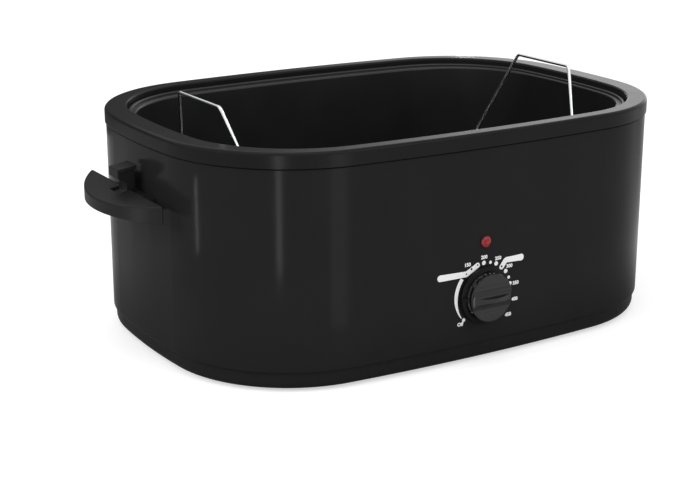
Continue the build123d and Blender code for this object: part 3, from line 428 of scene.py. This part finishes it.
# ---------------------------------------------------------------- surfaces
def put(name, finish, solids, body):
    """One piece from closed solids, each given as (points, faces), riding on a body."""
    points = np.concatenate([p for p, _ in solids])
    faces = []
    start = 0
    for p, f in solids:
        faces += [tuple(start + i for i in face) for face in f]
        start += len(p)
    mesh = bpy.data.meshes.new(name)
    mesh.from_pydata(points.tolist(), [], faces)
    mesh.materials.append(finishes[finish])
    mesh.update()
    piece = bpy.data.objects.new(name, mesh)
    bpy.context.scene.collection.objects.link(piece)
    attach(piece, body)
    return piece


def vertex_places(mesh):
    """The places of a mesh's vertices, a row each."""
    flat = np.zeros(len(mesh.vertices) * 3)
    mesh.vertices.foreach_get("co", flat)
    return flat.reshape(-1, 3)


def grid_faces(rows, columns):
    """Quads of a grid of points that closes round along its columns."""
    i, j = np.meshgrid(np.arange(rows - 1), np.arange(columns), indexing="ij")
    k = (j + 1) % columns
    quads = np.stack([i * columns + j, (i + 1) * columns + j, (i + 1) * columns + k, i * columns + k], -1)
    return [tuple(q) for q in quads.reshape(-1, 4).tolist()]


def loft(sections):
    """A closed solid through rows of points, each row a closed outline, with flat ends."""
    rows, columns, _ = sections.shape
    faces = grid_faces(rows, columns)
    faces.append(tuple(range(columns)))
    faces.append(tuple(range((rows - 1) * columns, rows * columns))[::-1])
    return sections.reshape(-1, 3), faces


def on_wall(across, up, proud):
    """Points of the front wall: it stands front_wall from the middle and falls back as a circle
    of front_bow_radius does, so y = R - front_wall - sqrt(R^2 - x^2), less what stands proud."""
    x = dial_x + across
    y = front_bow_radius - front_wall - np.sqrt(front_bow_radius**2 - x**2) - proud
    return np.stack([x, y, dial_z + up + np.zeros_like(x)], -1)


def clock(degrees, radius):
    """Across and up of a point on the dial, by its angle from the top, clockwise."""
    angle = np.radians(degrees)
    return radius * np.sin(angle), radius * np.cos(angle)


def disc(across, up, radius, proud=print_proud):
    """A round dot of ink: one circle in the paint and one standing proud of it."""
    turn = np.linspace(0, 2 * np.pi, dot_corners, endpoint=False)
    x, z = across + radius * np.cos(turn), up + radius * np.sin(turn)
    return loft(np.stack([on_wall(x, z, -print_sunk), on_wall(x, z, proud)]))


def ribbon(across, up, half):
    """A band of ink along a line: at each point it reaches half its width to both sides,
    square to the line, and its section is the rectangle between the paint and the skin."""
    run = np.stack([np.gradient(across), np.gradient(up)], -1)
    run /= np.linalg.norm(run, axis=1, keepdims=True)
    left = (across - run[:, 1] * half, up + run[:, 0] * half)
    right = (across + run[:, 1] * half, up - run[:, 0] * half)
    corners = [on_wall(*left, print_proud), on_wall(*right, print_proud),
               on_wall(*right, -print_sunk), on_wall(*left, -print_sunk)]
    return loft(np.stack(corners, 1))


def rounded(points, bend, count=110, shares=15):
    """A line through (across, up, half width) with its corners rounded by averaging over bend
    metres. Its ends are half circles: w = sqrt(h^2 - (h - s)^2) within h of an end, but never
    under a small share of h, so that the outline doesn't close up."""
    points = np.array(points)
    legs = np.linalg.norm(np.diff(points[:, :2], axis=0), axis=1)
    walked = np.concatenate([[0], np.cumsum(legs)])
    along = np.linspace(0, walked[-1], count)
    to_end = np.minimum(along, walked[-1] - along)
    reach = np.linspace(-bend / 2, bend / 2, shares)
    sample = along[:, None] + reach[None, :] * np.minimum(1, 2 * to_end / bend)[:, None]
    across, up, half = [np.interp(sample, walked, points[:, k]).mean(1) for k in (0, 1, 2)]
    end = np.clip(to_end, 0, half)
    least = 0.04 * half
    return across, up, np.sqrt(np.maximum(half**2 - (half - end) ** 2, least**2))


def lettering(words, size, across, up):
    """A word as ink: its outline filled and thickened, made a mesh, then laid on the wall."""
    text = bpy.data.curves.new("words", "FONT")
    text.body = words
    text.size = size
    text.offset = number_weight
    text.extrude = (print_proud + print_sunk) / 2
    text.resolution_u = 3
    text.align_x = "CENTER"
    text.align_y = "CENTER"
    holder = bpy.data.objects.new("words", text)
    bpy.context.scene.collection.objects.link(holder)
    mesh = bpy.data.meshes.new_from_object(holder)
    flat = vertex_places(mesh)
    proud = np.where(flat[:, 2] > 0, print_proud, -print_sunk)
    placed = on_wall(across + flat[:, 0], up + flat[:, 1], proud)
    faces = [tuple(p.vertices) for p in mesh.polygons]
    bpy.data.objects.remove(holder)
    return placed, faces


def bead(centre, radii, rows=6, columns=10):
    """A small weld: an ellipsoid, x = a sin(v) cos(u), y = b sin(v) sin(u), z = c cos(v), whose
    poles end in tiny flats."""
    pole = 0.02
    v = np.linspace(pole, np.pi - pole, rows)[:, None]
    u = np.linspace(0, 2 * np.pi, columns, endpoint=False)[None, :]
    ball = np.stack([np.sin(v) * np.cos(u), np.sin(v) * np.sin(u), np.cos(v) + 0 * u], -1)
    points, faces = loft(np.array(centre) + ball * np.array(radii))
    return points, [face[::-1] for face in faces]


# ---------------------------------------------------------------- rack welds
def rack_welds():
    """A small weld wherever a cross wire meets the rail or a stringer, and at each loop's feet."""
    low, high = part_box("roasting_rack")
    middle = (low.x + high.x) / 2
    reach = (high.x - low.x) / 2 - rail_wire_radius - cross_wire_end
    weld_height = low.z + rack_stand + 2 * rail_wire_radius
    places = vertex_places(nodes["roasting_rack"].data)
    spots = []
    for x in middle + np.linspace(-reach, reach, cross_wire_count):
        beside = places[np.abs(places[:, 0] - x) < 3 * rail_wire_radius]
        rail_y = np.abs(beside[:, 1]).max() - rail_wire_radius
        spots += [(x, y, weld_height) for y in (-rail_y, -stringer_y, stringer_y, rail_y)]
    small = [bead(spot, wire_bead) for spot in spots]
    put("rack_wire_welds", "rack_chrome", small, "rack")

    for side in ("left", "right"):
        low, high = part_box("lift_handle_" + side)
        foot_x = high.x - lift_wire_radius if side == "left" else low.x + lift_wire_radius
        foot_z = low.z + 0.4 * lift_wire_radius
        inset = 1.5 * lift_wire_radius
        feet = [(foot_x, y, foot_z) for y in (low.y + inset, high.y - inset)]
        beads = [bead(foot, loop_bead, rows=8, columns=14) for foot in feet]
        put(f"loop_welds_{side}", "rack_chrome", beads, "rack")


# ---------------------------------------------------------------- dial print
def put_print(name, solids):
    put(name, "print_white", solids, "housing")


def dial_print():
    """White marks round the knob: dots, a tapering arc, two bare tabs, plain numbers and Off.
    Dots are listed by their angle and, if large, the share of the full size; the points of a
    tab by across, up and half width, and the words by across and up, in millimetres."""
    large = [(-2.1, 1.0), (25.1, 1.0), (52.7, 1.0), (79.3, 0.9), (106.0, 0.9), (133.0, 0.9), (-133.4, 0.85)]
    small = [12.1, 67.0, 93.0, 119.5]
    dots = [disc(*clock(a, dot_ring_radius), large_dot_radius * share) for a, share in large]
    dots += [disc(*clock(a, dot_ring_radius), small_dot_radius) for a in small]
    put_print("dial_dots", dots)

    turn = np.linspace(arc_start, arc_end, arc_points)
    share = np.linspace(0, 1, arc_points)
    half = (0.25 + 1.9 * np.sin(share * np.pi / 2) ** 0.8 * (1 - 0.25 * share**3)) * MM
    put_print("dial_arc", [ribbon(*clock(turn, arc_radius), half)])

    left_tab = [(-49.7, 22.2, 3.0), (-19.3, 21.8, 2.6), (-5.6, 29.2, 2.4)]
    right_tab = [(17.0, 20.4, 2.4), (23.0, 28.0, 2.5), (36.0, 27.8, 2.8), (43.0, 27.7, 3.4)]
    tabs = [rounded(np.array(line) * MM, tab_bend) for line in (left_tab, right_tab)]
    put_print("dial_tabs", [ribbon(*tab) for tab in tabs])
    marks = [(-41.6, 0.75), (-29.0, 1.0), (-15.3, 0.8), (39.2, 0.95)]
    holes = [disc(*clock(a, tab_mark_radius), r * MM, tab_mark_proud) for a, r in marks]
    put("dial_tab_marks", "print_black", holes, "housing")

    places = {"150": (-18.5, 30.0), "200": (-0.8, 34.3), "250": (14.4, 31.0), "300": (27.2, 21.8),
              "350": (34.8, 4.8), "400": (34.2, -10.2), "450": (27.4, -23.6), "Off": (-24.8, -23.6)}
    put_print("dial_numbers", [lettering(word, number_height, x * MM, z * MM)
                               for word, (x, z) in places.items()])


# ---------------------------------------------------------------- studio
floor_reach = 6.0                        # from the middle to each edge
floor_paint, floor_shaded = 0.62, 0.28    # its paint, and the grey of its painted shade
floor_glow = 0.56                        # its own light
glow_lost = 0.9                          # the share of its own light that the painted shade takes away
shade_half_x, shade_half_y = 262 * MM, 186 * MM   # outline of the painted shade near the oven, just outside the walls
shade_near, shade_far = 0.95, 1.7          # in sizes of that outline: full painted shade, none
behind_from, behind_to, behind_lost = -0.16, 0.10, 0.72   # along Y: where the painted grey shade behind the oven starts and is full
aside_from, aside_to, aside_lost = 0.20, 0.50, 0.60       # the same painted shade to the left

card_left, card_right = -2.2, 2.4
card_y, card_top = 0.9, 0.62
grade_from, grade_to = 0.30, 1.00        # along X: where the card's grey ends and is brightest
card_dark, card_bright = 0.10, 1.8

focal_length = 80.86                     # millimetres, on a film 36 mm wide

# place, target, width, height, radiance and the rays that a lamp is hidden from
lamps = {
    "key": ((-0.3, -0.5, 1.9), (0, 0, 0.1), 1.6, 1.2, 1.8, ""),
    "front_fill": ((0.7, -1.90, 1.30), (0, -0.17, 0.08), 1.1, 0.8, 2.6, ""),
    "end_fill": ((-1.6, 0.05, 0.90), (-0.25, 0, 0.10), 0.8, 0.8, 4.2, "glossy"),
    "rear_fill": ((0.5, 1.95, 1.50), (0, 0.17, 0.08), 1.1, 0.6, 2.4, "glossy"),
    "corner_strip": ((-0.39, -0.40, 0.13), (-0.193, -0.149, 0.13), 0.024, 0.27, 15.0, "diffuse"),
    "end_strip": ((-0.352, -0.049, 0.115), (-0.24, -0.092, 0.115), 0.0042, 0.07, 20.0, "diffuse"),
    "front_strip": ((-0.12, -0.32, 0.10), (-0.146, -0.168, 0.10), 0.050, 0.20, 2.2, "diffuse"),
    "rear_strip": ((0.39, 0.40, 0.12), (0.193, 0.149, 0.12), 0.024, 0.22, 14.0, "diffuse"),
}


def point_at(thing, target):
    way = Vector(target) - thing.location
    thing.rotation_euler = way.to_track_quat("-Z", "Y").to_euler()


def place_camera():
    """The camera fitted to the photograph: a short tele lens from the front left and above,
    tilted down on the oven."""
    bearing, distance, height = math.radians(-32.86), 1.420, 0.492
    aim, tilt = math.radians(-31.33), math.radians(16.68)
    lens = bpy.data.cameras.new("camera")
    lens.lens = focal_length
    camera = bpy.data.objects.new("camera", lens)
    bpy.context.scene.collection.objects.link(camera)
    camera.location = (math.sin(bearing) * distance, -math.cos(bearing) * distance, height)
    way = Vector((-math.sin(aim) * math.cos(tilt), math.cos(aim) * math.cos(tilt), -math.sin(tilt)))
    point_at(camera, camera.location + way)
    bpy.context.scene.camera = camera


def soft_box(name, place, target, width, height, radiance):
    """A rectangular lamp of even radiance; its power is pi times its area times that."""
    lamp = bpy.data.lights.new(name, "AREA")
    lamp.shape = "RECTANGLE"
    lamp.size = width
    lamp.size_y = height
    lamp.energy = radiance * math.pi * width * height
    holder = bpy.data.objects.new(name, lamp)
    bpy.context.scene.collection.objects.link(holder)
    holder.location = place
    point_at(holder, target)
    holder.visible_camera = False
    return holder


def set_panel(name, look, corners):
    """A rectangle of the set, through four corners."""
    mesh = bpy.data.meshes.new(name)
    mesh.from_pydata(corners, [], [(0, 1, 2, 3)])
    mesh.materials.append(look.material)
    piece = bpy.data.objects.new(name, mesh)
    bpy.context.scene.collection.objects.link(piece)
    return piece


def lay_floor():
    """A pale floor: about half its brightness is its own, for the rays that show it, so that it
    stays white in the open and still takes the soft shadow under the oven. Polished parts see
    painted shade on it: darker close to the oven, from where m = ((x/a)^4 + (y/b)^4)^(1/4) is 1,
    just outside the walls, and painted grey behind the oven and to its left, where no lamp reaches the set."""
    look = Look("floor_white")
    outline = ((look.axis("X") / shade_half_x) ** 4 + (look.axis("Y") / shade_half_y) ** 4) ** 0.25
    glossy = look.node("ShaderNodeLightPath", {}, {}, "Is Glossy Ray")
    behind = look.axis("Y").step(behind_from, behind_to) * behind_lost
    aside = (-look.axis("X")).step(aside_from, aside_to) * aside_lost
    shown = outline.step(shade_near, shade_far) * (1 - behind.math("MAXIMUM", behind, aside))
    # painted shade: for polished parts alone the floor darkens near the oven, behind it and to its left
    painted_shade = glossy * (1 - shown)
    colour = look.mix(painted_shade, (floor_paint,) * 3, (floor_shaded,) * 3)
    paint = look.node("ShaderNodeBsdfDiffuse", {}, {"Color": colour})
    level = look.seen_rays() * (1 - painted_shade * glow_lost)
    shade = look.mix(level, (0, 0, 0), (1, 1, 1))
    own = look.node("ShaderNodeEmission", {}, {"Color": shade, "Strength": floor_glow})
    look.close("ShaderNodeOutputMaterial", look.node("ShaderNodeAddShader", {}, [paint, own]))
    r = floor_reach
    floor = set_panel("floor", look, [(-r, -r, 0), (r, -r, 0), (r, r, 0), (-r, r, 0)])


def light_world():
    """Even light all round: white where it is seen, softer where it only lights."""
    world = bpy.data.worlds.new("studio")
    bpy.context.scene.world = world
    sheet = Sheet(world)
    level = sheet.seen_rays().span(0.7, 1.0)
    sky = sheet.node("ShaderNodeBackground", {}, {"Color": (1, 1, 1, 1), "Strength": level})
    sheet.close("ShaderNodeOutputWorld", sky)


def stand_card():
    """A graded card behind the oven that only polished parts see: grey on the left, bright on
    the right, so that the collar's top runs from black to pale."""
    look = Look("card")
    level = look.axis("X").step(grade_from, grade_to).span(card_dark, card_bright)
    light = look.node("ShaderNodeEmission", {}, {"Color": (1, 1, 1, 1), "Strength": level})
    look.close("ShaderNodeOutputMaterial", light)
    card = set_panel("card", look, [(card_left, card_y, 0.0), (card_right, card_y, 0.0),
                                    (card_right, card_y, card_top), (card_left, card_y, card_top)])
    card.visible_camera = False
    card.visible_diffuse = False
    card.visible_shadow = False
    card.visible_transmission = False


def light_oven():
    """A broad soft box overhead and a fill in front; a fill at the left end and one behind that
    leave no highlight; and narrow boxes that light polished parts alone, whose reflections are
    the streaks down the corners, the left end and the front."""
    for name, (place, target, width, height, radiance, hidden_from) in lamps.items():
        box = soft_box(name, place, target, width, height, radiance)
        if hidden_from:
            setattr(box, "visible_" + hidden_from, False)


place_camera()
dress_nodes()
dial_print()
rack_welds()
lay_floor()
light_world()
stand_card()
light_oven()
bpy.context.scene.view_settings.view_transform = "Standard"
